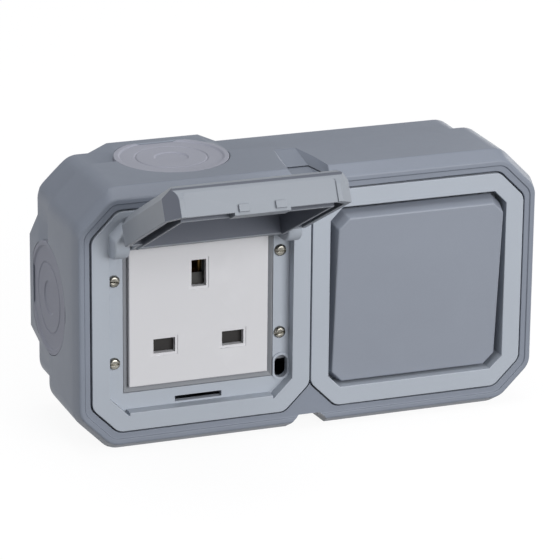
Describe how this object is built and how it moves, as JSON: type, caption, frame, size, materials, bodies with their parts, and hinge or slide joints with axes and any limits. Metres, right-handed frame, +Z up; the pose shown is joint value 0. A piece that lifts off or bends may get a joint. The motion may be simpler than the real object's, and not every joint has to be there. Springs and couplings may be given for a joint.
{
  "type": "weatherproof surface box with a hinged-lid mains socket and a large rocker switch",
  "caption": "Weatherproof grey surface box: a mains socket under a hinged lid on the left and a large rocker switch on the right, with cable entries in the top and side.",
  "frame": {"origin": "centre of the back face, on the wall", "axes": "+X to the right along the box, +Y into the wall, so the front looks along -Y, +Z up"},
  "size_m": [0.1516, 0.1011, 0.0985],
  "materials": {
    "box_plastic": "satin, fine grain",
    "frame_plastic": "satin, fine grain",
    "lid_plastic": "satin, fine grain",
    "rocker_plastic": "satin, fine grain",
    "plate_plastic": "semi-gloss",
    "carrier_plastic": "satin",
    "inner_plastic": "satin",
    "entry_rubber": "dull",
    "seal_rubber": "dull",
    "screw_brass": "bright, worn",
    "contact_brass": "bright",
    "spring_steel": "bright"
  },
  "bodies": {
    "enclosure": {"back_box": "box_plastic", "top_entry_grommet": "entry_rubber", "side_entry_grommet": "entry_rubber", "socket_frame": "frame_plastic", "switch_frame": "frame_plastic", "socket_frame_seal": "seal_rubber", "switch_frame_seal": "seal_rubber", "socket_frame_screws": "screw_brass", "switch_frame_screws": "screw_brass", "socket_carrier": "carrier_plastic", "socket_plate": "plate_plastic", "socket_base": "inner_plastic", "shutter_spring": "spring_steel", "line_contact": "contact_brass", "neutral_contact": "contact_brass", "earth_contact": "contact_brass", "socket_terminal_screws": "spring_steel", "hinge_pins": "spring_steel", "switch_carrier": "carrier_plastic", "common_contact": "contact_brass", "upper_fixed_contact": "contact_brass", "lower_fixed_contact": "contact_brass", "switch_base": "inner_plastic", "switch_terminal_screws": "spring_steel"},
    "lid": {"socket_lid": "lid_plastic", "lid_seal": "seal_rubber"},
    "shutter": {"shutter": "inner_plastic"},
    "rocker": {"rocker_cap": "rocker_plastic", "rocker_cradle": "inner_plastic", "plunger": "inner_plastic", "plunger_spring": "spring_steel"},
    "contact_rocker": {"contact_rocker": "contact_brass"}
  },
  "joints": [
    {"name": "lid_hinge", "type": "hinge", "parent": "enclosure", "child": "lid", "pos_m": [-0.0355, -0.0503, 0.0267], "axis": [1, 0, 0], "range_deg": [0, 117.5]},
    {"name": "rocker_pivot", "type": "hinge", "parent": "enclosure", "child": "rocker", "pos_m": [0.0355, -0.0366, 0], "axis": [1, 0, 0], "range_deg": [-10, 0]},
    {"name": "contact_rocker_pivot", "type": "hinge", "parent": "enclosure", "child": "contact_rocker", "pos_m": [0.0355, -0.0202, 0], "axis": [1, 0, 0], "range_deg": [0, 8]},
    {"name": "shutter_slide", "type": "slide", "parent": "enclosure", "child": "shutter", "axis": [0, 0, 1], "range_m": [-0.0058, 0], "stiffness_N_per_m": 150, "springref_m": 0.002, "deforming": ["shutter_spring"]}
  ],
  "couplings": [
    {"joint": "contact_rocker_pivot", "follows": "rocker_pivot", "ratio": -0.8}
  ]
}
